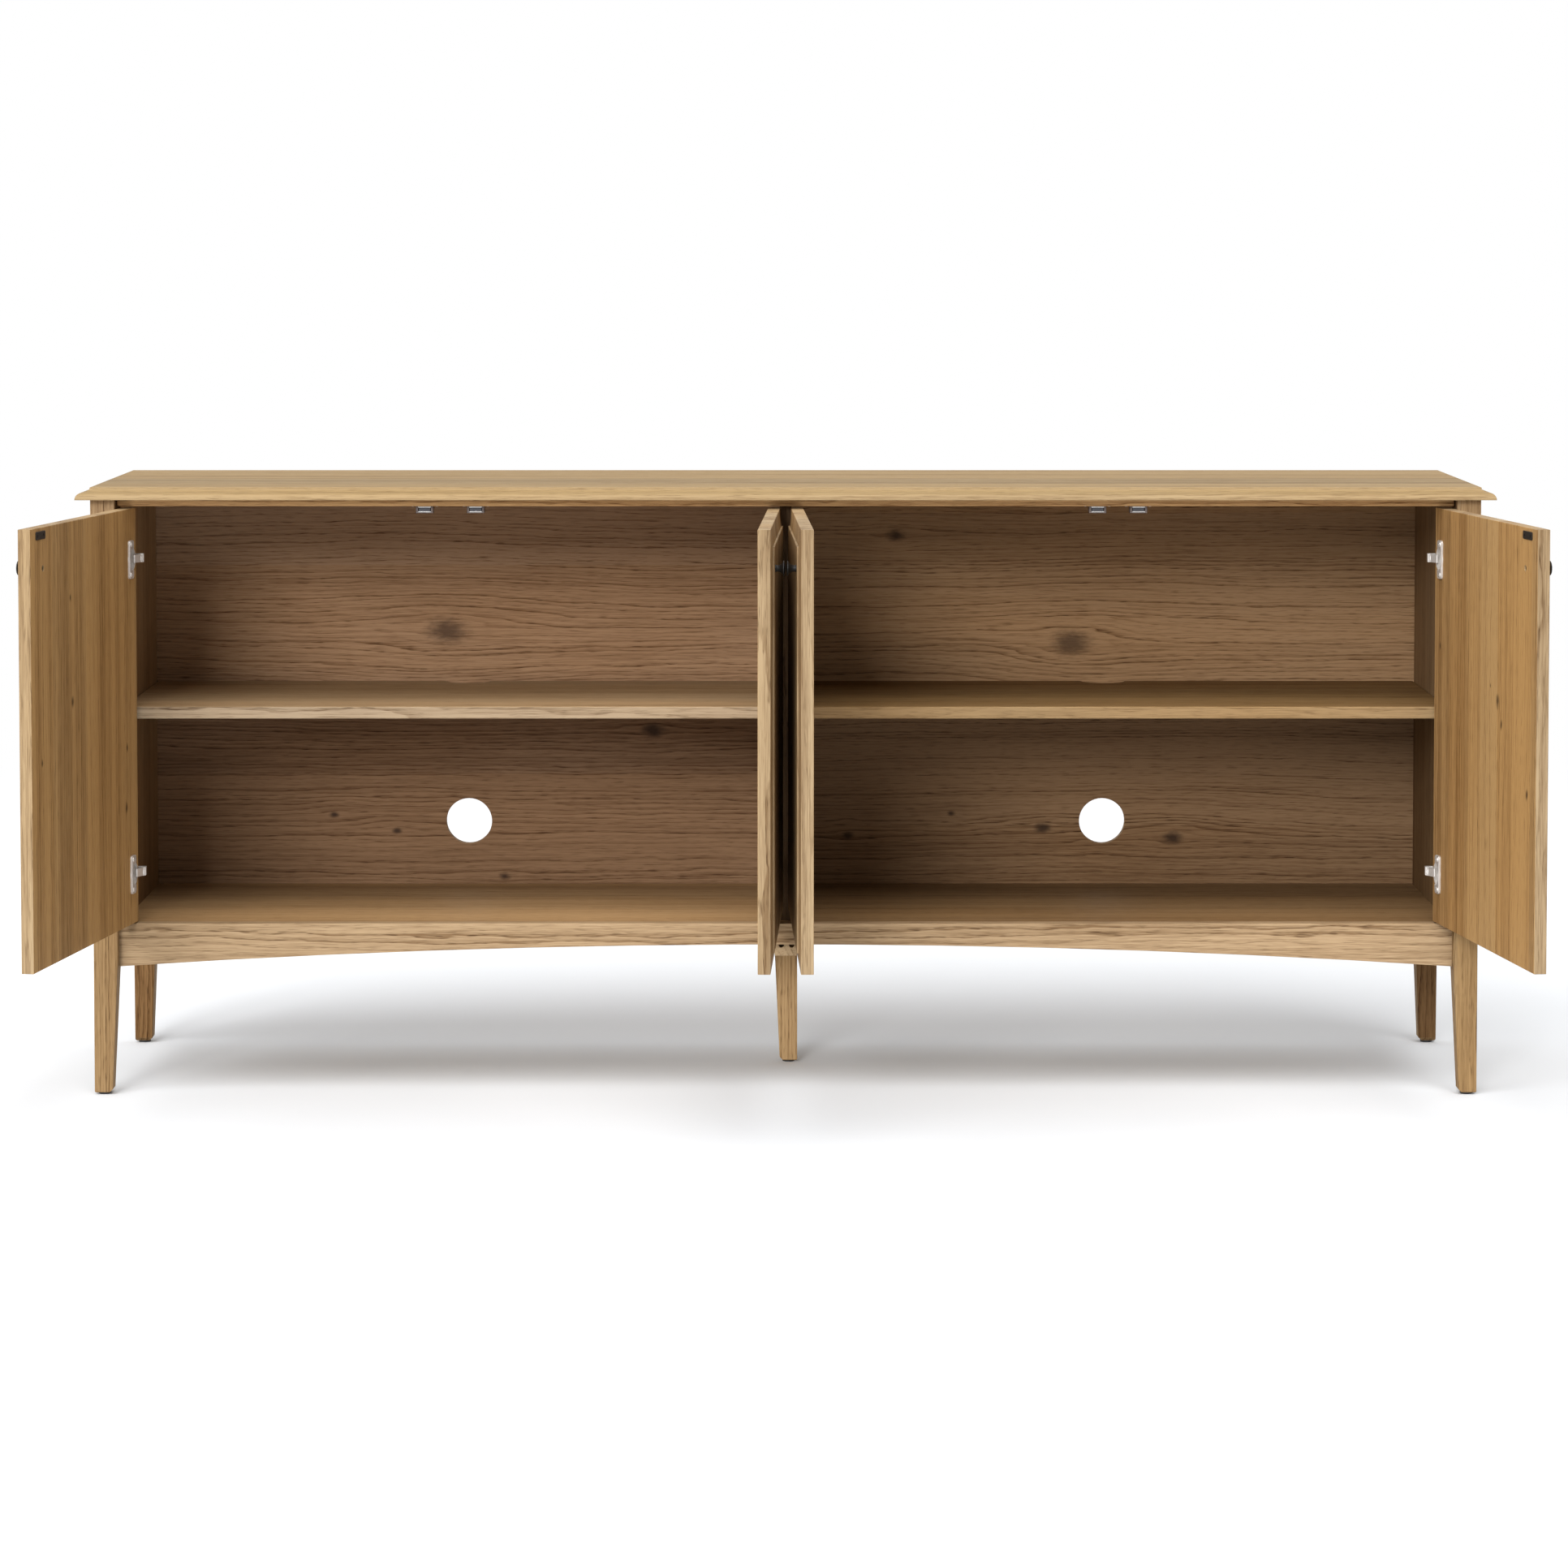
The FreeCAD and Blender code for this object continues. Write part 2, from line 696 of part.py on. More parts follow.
def door_panel():
    """Door board with a raised field outside, cup bores, and the hole of the knob's screw."""
    w = door_width
    z0 = door_bottom
    z1 = door_top
    slab = box(0, w, -field_height, board, z0, z1)
    slab = rounded(slab, 1.0, lambda a, b: a.y > board - 0.1 and b.y > board - 0.1)
    wide = V(w + 2, 0, 0)
    tall = V(0, 0, z1 - z0 + 2)
    cutters = [
        moulding_cutter(lambda s, h: V(s, -h, z0 - 1), tall),
        moulding_cutter(lambda s, h: V(w - s, -h, z0 - 1), tall),
        moulding_cutter(lambda s, h: V(-1, -h, z0 + s), wide),
        moulding_cutter(lambda s, h: V(-1, -h, z1 - s), wide),
    ]
    for cutter in cutters:
        slab = slab.cut(cutter)
    bores = [Part.makeCylinder(cup_bore_radius, cup_bore_depth + 1, V(cup_in, board + 1, z), V(0, -1, 0))
             for z in hinge_levels]
    bores += at_each(screw_hole(*CUP_SCREW), V(0, -1, 0), cup_screw_places())
    bores += at_each(screw_hole(*STRIKE_SCREW), V(0, -1, 0), strike_screw_places())
    knob_x = w - knob_from_edge
    bores.append(rod(KNOB_SCREW[2] + 0.2, V(knob_x, -10, knob_height), V(knob_x, 30, knob_height)))
    bores.append(rod(4.5, V(knob_x, board - knob_counterbore, knob_height), V(knob_x, 30, knob_height)))
    return without(slab, bores)


def cup_screw_places():
    y = board + flange_thickness + CUP_SCREW[1]
    return [V(cup_screw_in, y, level + z) for level in hinge_levels
            for z in (-cup_screw_half_spacing, cup_screw_half_spacing)]


def strike_screw_places():
    x = door_width - strike_from_edge
    y = board + strike_size[1]
    return [V(x + side, y, strike_height) for side in (-13.0, 13.0)]


def strike_plate():
    length, thickness, height = strike_size
    x = door_width - strike_from_edge
    z = strike_height
    plate = box(x - length / 2, x + length / 2, board, board + thickness, z - height / 2, z + height / 2)
    plate = rounded(plate, 3.0, lambda a, b: abs(a.y - b.y) > thickness / 2)
    return without(plate, at_each(screw_hole(*STRIKE_SCREW), V(0, -1, 0), strike_screw_places()))


def knob():
    """Flared round knob on a narrow neck, bored from behind for its screw."""
    steps = [((5.4, 0.0),), ((5.4, 1.0),), ((4.5, 2.2), (4.6, 4.0)), ((6.3, 8.4), (9.6, 11.0)),
             ((10.5, 11.9), (10.2, 12.8)), dome_step(10.2, 12.8, knob_projection)]
    body = turned_profile((0.0, 0.0), steps)
    body = without(body, [Part.makeCylinder(KNOB_SCREW[2] + 0.05, 9.5, V(0, 0, -1))])
    return aimed(body, V(0, -1, 0), V(door_width - knob_from_edge, -field_height, knob_height))


def door_fixings():
    """The door's own screws: four in the hinge cups, two in the strike plate, one in the knob."""
    knob_start = V(door_width - knob_from_edge, board - knob_counterbore + KNOB_SCREW[1], knob_height)
    screws = at_each(wood_screw(*CUP_SCREW), V(0, -1, 0), cup_screw_places())
    screws += at_each(wood_screw(*STRIKE_SCREW), V(0, -1, 0), strike_screw_places())
    screws.append(aimed(wood_screw(*KNOB_SCREW), V(0, -1, 0), knob_start))
    return screws


def raised(shape):
    """Copies of one hinge piece at both hinge levels."""
    return [shifted(shape, z=level) for level in hinge_levels]


def hung_door(name, side, hinge_x, opening, face_in):
    """All pieces of one door and its hinges, opened to its resting angle and put in the cabinet."""
    pivot = V(axis_in, axis_back, 0)
    link_pivot = V(link_pivot_in, link_pivot_back, 0)
    leaf = {
        "door_panel_" + name: [door_panel()],
        "hinge_cups_" + name: raised(hinge_cup()),
        "knob_" + name: [knob()],
        "strike_plate_" + name: [strike_plate()],
        "door_fixings_" + name: door_fixings(),
    }
    pieces = {node: [turned(s, pivot, -opening) for s in shapes] for node, shapes in leaf.items()}
    link = turned(hinge_link(), link_pivot, opening * link_ratio)
    pieces["hinge_links_" + name] = raised(link)
    pieces["hinge_arms_" + name] = raised(hinge_arm(face_in))
    pieces["hinge_pins"] = raised(hinge_pin())
    pieces["hinge_plates"] = raised(hinge_plate(face_in))
    screws = at_each(wood_screw(*PLATE_SCREW), V(-1, 0, 0), plate_screw_places(face_in))
    holes = at_each(screw_hole(*PLATE_SCREW), V(-1, 0, 0), plate_screw_places(face_in))
    pieces["hinge_plate_screws"] = [s for screw in screws for s in raised(screw)]
    pieces["plate_screw_holes"] = [s for hole in holes for s in raised(hole)]
    placed = {}
    for node, shapes in pieces.items():
        if side == "right":
            shapes = [mirrored(s) for s in shapes]
        placed[node] = [shifted(s, x=hinge_x, y=front_setback) for s in shapes]
    return placed


def door_set():
    """The four doors: each outer one is hung on its side panel, each centre one on the partition."""
    sets = [
        hung_door("left_outer", "left", -door_outer_half, left_door_open, side_face_in),
        hung_door("left_centre", "right", -door_inner_half, centre_door_open, partition_face_in),
        hung_door("right_centre", "left", door_inner_half, centre_door_open, partition_face_in),
        hung_door("right_outer", "right", door_outer_half, right_door_open, side_face_in),
    ]
    pieces = {}
    for one in sets:
        for node, shapes in one.items():
            pieces.setdefault(node, []).extend(shapes)
    return pieces


# ---------------------------------------------------------------- assembly

def cabinet():
    """Every node of the cabinet as a list of solids, in cabinet coordinates."""
    nodes = door_set()
    plate_holes = nodes.pop("plate_screw_holes")
    boards = {
        "top_panel": top_panel(),
        "front_top_rail": front_top_rail(),
        "rear_top_rail": rear_top_rail(),
        "side_panel_left": side_panel(-1),
        "side_panel_right": side_panel(1),
        "centre_partition": centre_partition(),
        "cabinet_floor": cabinet_floor(),
        "front_apron": front_apron(),
        "rear_apron": rear_apron(),
        "back_panel_left": back_panel(-1),
        "back_panel_right": back_panel(1),
        "shelf_left": shelf(-1),
        "shelf_right": shelf(1),
        "centre_beam": centre_beam(),
        "centre_leg": centre_leg(),
    }
    boards.update(corner_legs())
    screws = carcass_screws()
    holes = plate_holes + carcass_screw_holes() + shelf_pin_holes()
    holes += dowels(dowel_radius + pilot_clearance, dowel_half_length + 0.5)
    holes += at_each(screw_hole(*CATCH_SCREW), V(0, 0, 1), catch_screw_places())
    for node, shape in boards.items():
        near = [hole for hole in holes if hole.BoundBox.intersect(shape.BoundBox)]
        nodes[node] = [without(shape, near)] if near else [shape]
    nodes.update(screws)
    nodes["shelf_pins"] = shelf_pins()
    nodes["foot_glides"] = foot_glides()
    nodes["joint_dowels"] = dowels(dowel_radius, dowel_half_length)
    nodes["catch_housings"] = [catch_housing(x) for x in catch_centres()]
    nodes["catch_pole_plates"] = [plate for x in catch_centres() for plate in pole_plates(x)]
    nodes["catch_magnets"] = [catch_magnet(x) for x in catch_centres()]
    nodes["catch_screws"] = at_each(wood_screw(*CATCH_SCREW), V(0, 0, 1), catch_screw_places())
    return nodes


def footprint_middle(nodes):
    """Depth of the middle of the footprint, doors open, in cabinet coordinates."""
    everything = Part.makeCompound([shape for shapes in nodes.values() for shape in shapes])
    extent = everything.optimalBoundingBox(True, False)
    return (extent.YMin + extent.YMax) / 2


def main():
    os.makedirs("parts", exist_ok=True)
    nodes = cabinet()
    shift = -footprint_middle(nodes)
    for node, shapes in nodes.items():
        moved = [shifted(shape, y=shift) for shape in shapes]
        whole = moved[0] if len(moved) == 1 else Part.makeCompound(moved)
        whole.exportStep(os.path.join("parts", node + ".step"))
    print(len(nodes), "nodes, moved", round(shift, 3), "mm along y")


main()
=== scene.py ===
"""Looks of the media cabinet: oak, steel, plastic, studio floor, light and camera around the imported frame."""
import json
import math

import bpy
from mathutils import Matrix, Vector


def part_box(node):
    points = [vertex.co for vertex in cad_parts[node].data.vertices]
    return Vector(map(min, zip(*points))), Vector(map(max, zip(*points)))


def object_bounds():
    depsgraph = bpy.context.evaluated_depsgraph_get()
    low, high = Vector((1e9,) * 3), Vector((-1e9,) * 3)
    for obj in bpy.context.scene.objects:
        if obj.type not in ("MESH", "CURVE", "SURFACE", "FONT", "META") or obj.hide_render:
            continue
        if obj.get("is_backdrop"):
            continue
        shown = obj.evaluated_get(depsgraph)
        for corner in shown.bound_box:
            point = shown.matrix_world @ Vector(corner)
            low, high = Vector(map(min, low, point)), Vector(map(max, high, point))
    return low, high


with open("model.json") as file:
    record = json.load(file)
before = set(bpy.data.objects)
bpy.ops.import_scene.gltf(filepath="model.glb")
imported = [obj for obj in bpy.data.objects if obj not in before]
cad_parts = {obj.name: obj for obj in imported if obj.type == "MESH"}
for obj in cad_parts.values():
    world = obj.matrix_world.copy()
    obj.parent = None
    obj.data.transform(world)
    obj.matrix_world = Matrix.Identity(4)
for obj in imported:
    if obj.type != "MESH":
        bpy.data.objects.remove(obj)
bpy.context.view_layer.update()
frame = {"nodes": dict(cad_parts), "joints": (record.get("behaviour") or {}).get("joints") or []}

X_AXIS = Vector((1, 0, 0))
Y_AXIS = Vector((0, 1, 0))
Z_AXIS = Vector((0, 0, 1))


# ---------------------------------------------------------------- node helpers
class Graph:
    """A material's node tree, with one short call for each kind of node that the finishes use."""

    def __init__(self, name):
        self.material = bpy.data.materials.new(name)
        self.material.use_nodes = True
        self.tree = self.material.node_tree
        self.shader = self.tree.nodes["Principled BSDF"]

    def node(self, kind, **settings):
        made = self.tree.nodes.new(kind)
        for key, value in settings.items():
            setattr(made, key, value)
        return made

    def feed(self, socket, value):
        """Links value to the socket if it is a socket, and sets it as a constant otherwise."""
        if isinstance(value, bpy.types.NodeSocket):
            self.tree.links.new(value, socket)
        else:
            socket.default_value = value

    def math(self, operation, *values):
        made = self.node("ShaderNodeMath", operation=operation)
        for socket, value in zip(made.inputs, values):
            self.feed(socket, value)
        return made.outputs["Value"]

    def add(self, *values):
        total = values[0]
        for value in values[1:]:
            total = self.math("ADD", total, value)
        return total

    def times(self, a, b):
        return self.math("MULTIPLY", a, b)

    def dot(self, vector, axis):
        made = self.node("ShaderNodeVectorMath", operation="DOT_PRODUCT")
        self.feed(made.inputs[0], vector)
        self.feed(made.inputs[1], axis)
        return made.outputs["Value"]

    def vector(self, x, y, z):
        made = self.node("ShaderNodeCombineXYZ")
        for socket, value in zip(made.inputs, (x, y, z)):
            self.feed(socket, value)
        return made.outputs["Vector"]

    def noise(self, vector, scale=1.0, detail=2.0, roughness=0.5):
        made = self.node("ShaderNodeTexNoise")
        self.feed(made.inputs["Vector"], vector)
        made.inputs["Scale"].default_value = scale
        made.inputs["Detail"].default_value = detail
        made.inputs["Roughness"].default_value = roughness
        return made.outputs["Fac"]

    def stretched_noise(self, u, v, w, lengthwise, crosswise, shift=0.0, **kind):
        """Noise whose features are drawn out along u."""
        place = self.vector(
            self.math("MULTIPLY_ADD", u, lengthwise, shift),
            self.math("MULTIPLY_ADD", v, crosswise, shift),
            self.times(w, crosswise),
        )
        return self.noise(place, **kind)

    def random(self, value, shift):
        """Three independent random numbers for each whole value."""
        made = self.node("ShaderNodeTexWhiteNoise", noise_dimensions="1D")
        self.feed(made.inputs["W"], self.add(value, shift))
        parts = self.node("ShaderNodeSeparateColor")
        self.feed(parts.inputs[0], made.outputs["Color"])
        return parts.outputs[0], parts.outputs[1], parts.outputs[2]

    def ramp(self, value, low, high, to_low=0.0, to_high=1.0):
        made = self.node("ShaderNodeMapRange", interpolation_type="SMOOTHSTEP")
        for key, number in zip(("Value", "From Min", "From Max", "To Min", "To Max"),
                               (value, low, high, to_low, to_high)):
            self.feed(made.inputs[key], number)
        return made.outputs["Result"]

    def mix(self, factor, a, b, blend="MIX"):
        made = self.node("ShaderNodeMix", data_type="RGBA", blend_type=blend)
        made.clamp_factor = True
        self.feed(made.inputs[0], factor)
        for socket, value in zip((made.inputs[6], made.inputs[7]), (a, b)):
            self.feed(socket, value if isinstance(value, bpy.types.NodeSocket) else (*value, 1.0))
        return made.outputs[2]

    def object_place(self):
        return self.node("ShaderNodeTexCoord").outputs["Object"]

    def soft_edges(self, radius):
        """(normal rounded over each edge, mask that is 1 along the edges)."""
        rounded = self.node("ShaderNodeBevel", samples=4)
        rounded.inputs["Radius"].default_value = radius
        surface = self.node("ShaderNodeNewGeometry")
        same = self.dot(rounded.outputs["Normal"], surface.outputs["Normal"])
        return rounded.outputs["Normal"], self.ramp(same, 0.995, 0.8)

    def bump(self, height, distance, normal):
        made = self.node("ShaderNodeBump")
        made.inputs["Distance"].default_value = distance
        self.feed(made.inputs["Height"], height)
        self.feed(made.inputs["Normal"], normal)
        return made.outputs["Normal"]


# ---------------------------------------------------------------- finishes
OAK_LIGHT = Vector((0.400, 0.302, 0.192))
OAK_DARK = Vector((0.190, 0.122, 0.066))
KNOT_COLOUR = (0.045, 0.028, 0.018)


def tinted(colour, tint):
    return tuple(c * t for c, t in zip(colour, tint))


def oak(name, along, across, seed, tint=(1.0, 1.0, 1.0), stave=0.11, ring=0.0045, figure=1.0, tone=0.2,
        bands=0.2, knots=(), origin=Vector((0, 0, 0)), face_tints=(), fade=None):
    """Lacquered light oak. Its grain runs along one axis, and staves lie side by side across it.

    A stave's growth rings are wavy, and lie mostly side by side with a little of a curve about its pith.
    knots are (along, across, half width) from the origin, in metres. Each face tint is (outward normal, tint):
    that face has its own tint, which holds the wood's own colour on some faces and painted light and shade on
    others. fade is (axis, start, end, tint): painted light and shade that the first tinted face, or all of an
    untinted part, takes on from start to end.
    """
    g = Graph(name)
    facing = along.cross(across)
    place = g.object_place()
    u = g.math("SUBTRACT", g.dot(place, along), origin.dot(along))
    v = g.math("SUBTRACT", g.dot(place, across), origin.dot(across))
    w = g.dot(place, facing)

    count = g.math("MULTIPLY_ADD", v, 1.0 / stave, seed)
    index = g.math("FLOOR", count)
    inside = g.math("SUBTRACT", g.math("FRACT", count), 0.5)
    stave_tone, pith_side, pith_depth = g.random(index, seed * 3.7)
    hue, grain_shift, _ = g.random(index, seed * 5.3 + 40.0)

    # growth rings
    slow = g.add(u, g.times(grain_shift, 9.0))
    sway = g.math("SUBTRACT", g.stretched_noise(slow, v, w, 1.0, 2.2, seed, detail=2.0), 0.5)
    heave = g.math("SUBTRACT", g.stretched_noise(slow, v, w, 0.8, 3.0, seed + 31.0, detail=1.0), 0.5)
    side = g.add(
        g.times(inside, stave),
        g.times(g.math("SUBTRACT", pith_side, 0.5), stave * 2.2),
        g.times(sway, 0.05),
    )
    depth = g.add(w, g.math("MULTIPLY_ADD", pith_depth, 0.06, 0.02), g.times(heave, 0.05))
    knot_mask = None
    for knot_along, knot_across, size in knots:
        du = g.math("DIVIDE", g.math("SUBTRACT", u, knot_along), size * 1.5)
        dv = g.math("DIVIDE", g.math("SUBTRACT", v, knot_across), size)
        du_squared, dv_squared = g.times(du, du), g.times(dv, dv)
        bulge = g.add(1.0, g.times(du_squared, 0.10), g.times(dv_squared, 0.28))
        side = g.math("SUBTRACT", side, g.math("DIVIDE", g.times(dv, size * 0.85), bulge))
        ragged = g.add(g.math("SQRT", g.add(du_squared, dv_squared)), g.times(sway, 0.7))
        ragged = g.add(ragged, g.times(g.stretched_noise(u, v, w, 90.0, 220.0, detail=3.0), 0.9))
        core = g.ramp(ragged, 1.9, 0.6, 0.0, 0.75 if size > 0.015 else 0.88)
        knot_mask = core if knot_mask is None else g.math("MAXIMUM", knot_mask, core)
    radius = g.math("SQRT", g.add(g.times(side, side), g.times(depth, depth)))
    radius = g.add(g.times(radius, 0.30), g.times(side, 0.70))
    ripple = g.math("SUBTRACT", g.stretched_noise(u, v, w, 9.0, 60.0, seed, detail=3.0), 0.5)
    phase = g.math("DIVIDE", g.math("MULTIPLY_ADD", ripple, 0.008, radius), ring)
    year = g.math("FLOOR", phase)
    season = g.math("FRACT", phase)
    early = g.times(g.math("POWER", g.math("SUBTRACT", 1.0, season), 2.0), g.ramp(season, 0.0, 0.12))
    strength, _, _ = g.random(year, seed + 7.0)
    early = g.times(early, g.math("MULTIPLY_ADD", g.times(strength, strength), 0.7, 0.3))

    # fibres, pores and cloudy colour
    fibre = g.math("SUBTRACT", g.stretched_noise(u, v, w, 2.6, 260.0, seed, detail=3.0, roughness=0.65), 0.5)
    fine = g.math("SUBTRACT", g.stretched_noise(u, v, w, 16.0, 620.0, seed + 3.0, detail=2.0), 0.5)
    pores = g.ramp(g.stretched_noise(u, v, w, 42.0, 640.0, seed + 9.0, detail=1.0), 0.52, 0.68)
    pores = g.times(pores, g.math("MULTIPLY_ADD", early, 1.3, 0.22))
    cloud = g.math("SUBTRACT", g.stretched_noise(u, v, w, 1.7, 7.0, seed + 17.0, detail=3.0), 0.5)
    band = g.math("SUBTRACT", g.stretched_noise(u, v, w, 0.7, 34.0, seed + 51.0, detail=2.0), 0.5)
    streak = g.ramp(g.stretched_noise(u, v, w, 1.6, 60.0, seed + 23.0, detail=2.0), 0.60, 0.76)

    darkness = g.add(
        0.10,
        g.times(early, 0.90 * figure),
        g.times(band, bands * 4.0),
        g.times(fibre, 1.15),
        g.times(fine, 1.3),
        g.times(cloud, 0.5),
        g.times(streak, 0.12),
        g.times(g.math("SUBTRACT", stave_tone, 0.5), tone * 2.0),
    )
    colour = g.mix(darkness, tinted(OAK_LIGHT, tint), tinted(OAK_DARK, tint))
    warm = g.ramp(g.math("MULTIPLY_ADD", cloud, 1.2, hue), 0.1, 0.9, 0.0, 0.55)
    colour = g.mix(warm, colour, (1.0, 0.90, 0.74), "MULTIPLY")
    colour = g.mix(g.times(pores, 0.7 * figure), colour, (0.36, 0.30, 0.25), "MULTIPLY")
    if knot_mask is not None:
        colour = g.mix(knot_mask, colour, KNOT_COLOUR)
    # Face tints: the wood's own colour on some faces, and painted light and shade on others.
    faced = g.node("ShaderNodeTexCoord").outputs["Normal"]
    covers = [g.ramp(g.dot(faced, outward), 0.6, 0.8) for outward, _ in face_tints]
    for cover, (_, face_tint) in zip(covers, face_tints):
        colour = g.mix(cover, colour, g.mix(1.0, colour, face_tint, "MULTIPLY"))
    # The fade paints light and shade into the colour, growing along an axis.
    if fade is not None:
        axis, start, end, fade_tint = fade
        amount = g.ramp(g.dot(place, axis), start, end)
        if covers:
            amount = g.times(amount, covers[0])
        colour = g.mix(amount, colour, g.mix(1.0, colour, fade_tint, "MULTIPLY"))
    normal, edge = g.soft_edges(0.0011)
    colour = g.mix(g.times(edge, 0.30), colour, tinted((0.52, 0.40, 0.26), tint))
    g.feed(g.shader.inputs["Base Color"], colour)
    g.feed(g.shader.inputs["Roughness"], g.add(0.60, g.times(early, 0.12), g.times(fine, 0.12)))
    g.shader.inputs["Specular IOR Level"].default_value = 0.08
    height = g.add(g.times(pores, -0.9), g.times(early, -0.35), g.times(fibre, 0.25), g.times(fine, 0.25))
    g.feed(g.shader.inputs["Normal"], g.bump(height, 0.00035, normal))
    return g.material


BRUSH_LENGTHWISE = 60.0
BRUSH_CROSSWISE = 1320.0


def metal(name, colour, roughness, metallic=1.0, wear=(0.9, 0.88, 0.85), worn=0.25, fade=None):
    """Plated or painted metal with a faint brushed grain, spots of wear and softly rounded edges.

    fade is (axis, start, end, colour): pieces beyond the end along the axis have the other colour.
    """
    g = Graph(name)
    place = g.object_place()
    x, y, z = g.dot(place, X_AXIS), g.dot(place, Y_AXIS), g.dot(place, Z_AXIS)
    brushed = g.stretched_noise(z, x, y, BRUSH_LENGTHWISE, BRUSH_CROSSWISE, detail=2.0)
    cloud = g.noise(place, scale=90.0, detail=3.0)
    normal, edge = g.soft_edges(0.0004)
    shade = g.mix(g.ramp(cloud, 0.35, 0.75, 0.0, 0.35), colour, tinted(colour, (0.72, 0.70, 0.68)))
    shade = g.mix(g.times(edge, worn), shade, wear)
    if fade is not None:
        axis, start, end, far_colour = fade
        shade = g.mix(g.ramp(g.dot(place, axis), start, end), shade, far_colour)
    g.feed(g.shader.inputs["Base Color"], shade)
    g.shader.inputs["Metallic"].default_value = metallic
    uneven = g.add(roughness - 0.08, g.times(cloud, 0.12), g.times(brushed, 0.06))
    g.feed(g.shader.inputs["Roughness"], uneven)
    g.feed(g.shader.inputs["Normal"], g.bump(brushed, 0.00003, normal))
    return g.material


def plastic(name, colour, roughness):
    """Moulded plastic: a fine grained skin, with edges rubbed a little lighter."""
    g = Graph(name)
    place = g.object_place()
    grain = g.noise(place, scale=1800.0, detail=2.0)
    cloud = g.noise(place, scale=60.0, detail=2.0)
    normal, edge = g.soft_edges(0.0005)
    shade = g.mix(g.ramp(cloud, 0.3, 0.7), colour, tinted(colour, (0.8, 0.8, 0.82)))
    shade = g.mix(g.times(edge, 0.25), shade, tinted(colour, (1.9, 1.9, 1.9)))
    g.feed(g.shader.inputs["Base Color"], shade)
    g.feed(g.shader.inputs["Roughness"], g.add(roughness, g.times(grain, 0.1)))
    g.feed(g.shader.inputs["Normal"], g.bump(grain, 0.00005, normal))
    return g.material


def wear_finish(node, finish):
    """Gives the finish to every material slot of a CAD node."""
    shown = frame["nodes"][node]
    if not shown.material_slots:
        shown.data.materials.append(finish)
    for slot in shown.material_slots:
        slot.material = finish


# ---------------------------------------------------------------- carcass
def part_of(node, along_share, across_share, along, across):
    """A place in a node's box, by shares along two axes, as (along, across) distances."""
    low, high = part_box(node)
    middle = (low + high) / 2
    size = high - low
    return (
        middle.dot(along) + (along_share - 0.5) * abs(size.dot(along)),
        middle.dot(across) + (across_share - 0.5) * abs(size.dot(across)),
    )


SHELF_LEVEL = (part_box("shelf_left")[0].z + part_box("shelf_left")[1].z) / 2
SHADE_BORDER = 0.006

# Light and shade seen in the photograph that the lamps below don't give. They are painted into the wood's
# colour by place on the object, and so stay where they are when a door moves or the light changes.
BACK_SHADE_BELOW_SHELF = (Z_AXIS, SHELF_LEVEL + SHADE_BORDER, SHELF_LEVEL - SHADE_BORDER, (0.69, 0.68, 0.68))
SIDE_SHADE_BELOW_SHELF = (Z_AXIS, SHELF_LEVEL + SHADE_BORDER, SHELF_LEVEL - SHADE_BORDER, (0.70, 0.66, 0.60))
FLOOR_SHADE_IN_RIGHT_BAY = (X_AXIS, -0.008, 0.008, (0.56, 0.53, 0.50))
LIGHT_ON_LEG_TOPS = (Z_AXIS, 0.55, 0.88, (1.35, 1.42, 1.65))
SHADE_ON_PARTITION_EDGE = (0.30, 0.27, 0.25)
LIT_FRONT_RAIL = (1.62, 1.38, 1.08)

top_board = oak("oak_top_board", X_AXIS, Y_AXIS, 2.3, (0.84, 0.82, 0.73), stave=0.135,
                bands=0.36, face_tints=[(Z_AXIS, (0.86, 0.84, 0.77))])
wear_finish("top_panel", top_board)
for node, seed in (("rear_top_rail", 6.4), ("front_apron", 8.2), ("rear_apron", 9.7)):
    wear_finish(node, oak("oak_" + node, X_AXIS, Z_AXIS, seed, (0.96, 0.94, 0.94), stave=0.4, figure=1.2))
wear_finish("front_top_rail", oak("oak_front_top_rail", X_AXIS, Z_AXIS, 5.1, LIT_FRONT_RAIL, stave=0.4))
floor_board = oak("oak_cabinet_floor", X_AXIS, Y_AXIS, 11.6, (1.0, 0.98, 0.95), stave=0.12,
                  face_tints=[(Z_AXIS, (0.95, 0.83, 0.68))], fade=FLOOR_SHADE_IN_RIGHT_BAY)
wear_finish("cabinet_floor", floor_board)
wear_finish("centre_beam", oak("oak_centre_beam", Y_AXIS, X_AXIS, 13.2, stave=0.3))

BACK_KNOTS = {
    "left": ((0.464, 0.641, 0.021), (0.790, 0.399, 0.011), (0.283, 0.195, 0.005), (0.383, 0.156, 0.005),
             (0.554, 0.045, 0.006)),
    "right": ((0.454, 0.612, 0.021), (0.174, 0.873, 0.010), (0.099, 0.144, 0.006), (0.409, 0.163, 0.008),
              (0.615, 0.138, 0.010), (0.263, 0.198, 0.004)),
}
# Tints matched to the photograph face by face: they hold both the wood's own colour and the light on it.
BACK_FACE = {"left": (1.12, 1.04, 1.08), "right": (0.98, 0.88, 0.80)}
SIDE_FACE = {"left": (0.94, 0.88, 0.84), "right": (0.72, 0.66, 0.62)}
SHELF_EDGE = {"left": (0.88, 0.91, 1.0), "right": (0.72, 0.64, 0.51)}
SHELF_FACE = {"left": (1.10, 0.98, 0.80), "right": (0.80, 0.72, 0.58)}
LEG_TINT = {"left": (0.74, 0.63, 0.47), "right": (0.75, 0.65, 0.49)}
REAR_LEG_FRONT_SHADE = {"left": (0.70, 0.60, 0.50), "right": (0.50, 0.42, 0.36)}
